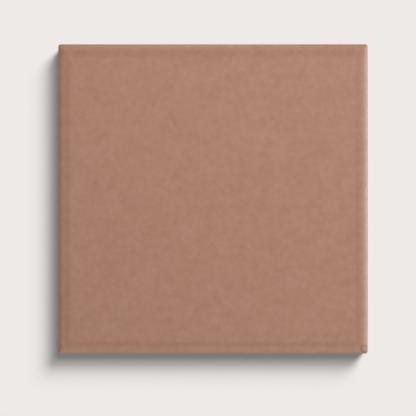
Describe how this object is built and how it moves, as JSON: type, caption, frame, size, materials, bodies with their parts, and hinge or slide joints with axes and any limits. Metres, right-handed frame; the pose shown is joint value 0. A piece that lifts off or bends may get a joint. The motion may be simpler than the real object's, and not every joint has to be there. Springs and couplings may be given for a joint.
{
  "type": "ceramic tile",
  "caption": "Square pressed ceramic wall and floor tile: matt glazed face with a cushioned rim, upright edge lands and a waffle-keyed back that beds in adhesive.",
  "frame": {"origin": "centre of the bedding plane, under the ribs of the back", "axes": "+Z out of the glazed face, +X and +Y along two edges of the square"},
  "size_m": [0.15, 0.15, 0.009],
  "materials": {
    "matt_glazed_ceramic": "matt pinkish brown glaze on the face and upper edges, bare fired clay on the lower sides and back"
  },
  "bodies": {
    "root": {"tile": "matt_glazed_ceramic"}
  },
  "joints": []
}
